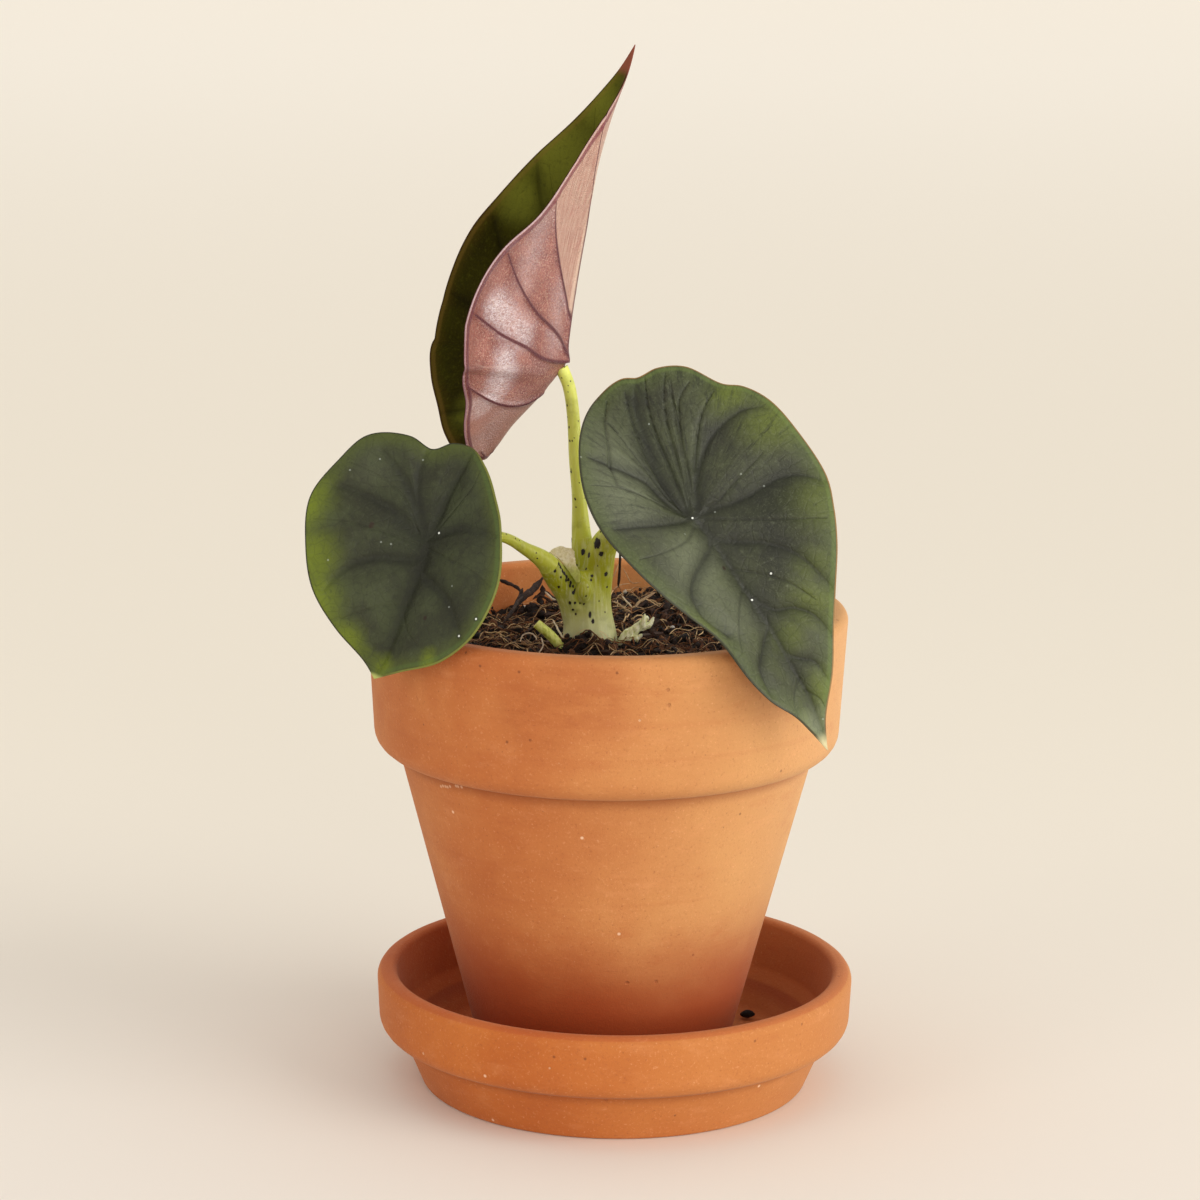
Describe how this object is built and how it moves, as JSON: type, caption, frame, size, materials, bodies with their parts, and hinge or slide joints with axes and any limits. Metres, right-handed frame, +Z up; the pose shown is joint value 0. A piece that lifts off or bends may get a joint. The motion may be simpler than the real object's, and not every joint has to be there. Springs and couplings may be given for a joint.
{
  "type": "potted nebula alocasia",
  "caption": "Young nebula alocasia with shield-shaped dark green blades and a tall folded plum-backed blade, rooted in soil in a terracotta pot that stands in a terracotta saucer.",
  "frame": {"origin": "centre of the saucer's flat underside", "axes": "+Z up, -Y towards the viewer of the picture, +X to that viewer's right"},
  "size_m": [0.1248, 0.1117, 0.2392],
  "materials": {
    "terracotta": "matte, unglazed, fine grained",
    "soil": "rough, crumbly, fibrous",
    "trunk": "smooth, waxy, with dark spots",
    "stalk": "smooth, waxy, with dark spots",
    "pale_shoot": "smooth, waxy",
    "dry_sheath": "dry, papery",
    "blade_green": "satin, with sunken dark veins",
    "blade_plum": "glossy plum underside, olive green upper side"
  },
  "bodies": {
    "root": {"saucer": "terracotta", "pot": "terracotta", "soil": "soil", "soil_crumb": "soil", "stem_base": "trunk", "sheath_scrap": "dry_sheath", "cut_stub": "pale_shoot", "side_shoot": "pale_shoot", "petiole_left": "stalk", "petiole_rear": "stalk", "petiole_right": "stalk", "leaf_left": "blade_green", "leaf_right": "blade_green", "leaf_rear": "blade_plum"}
  },
  "joints": []
}
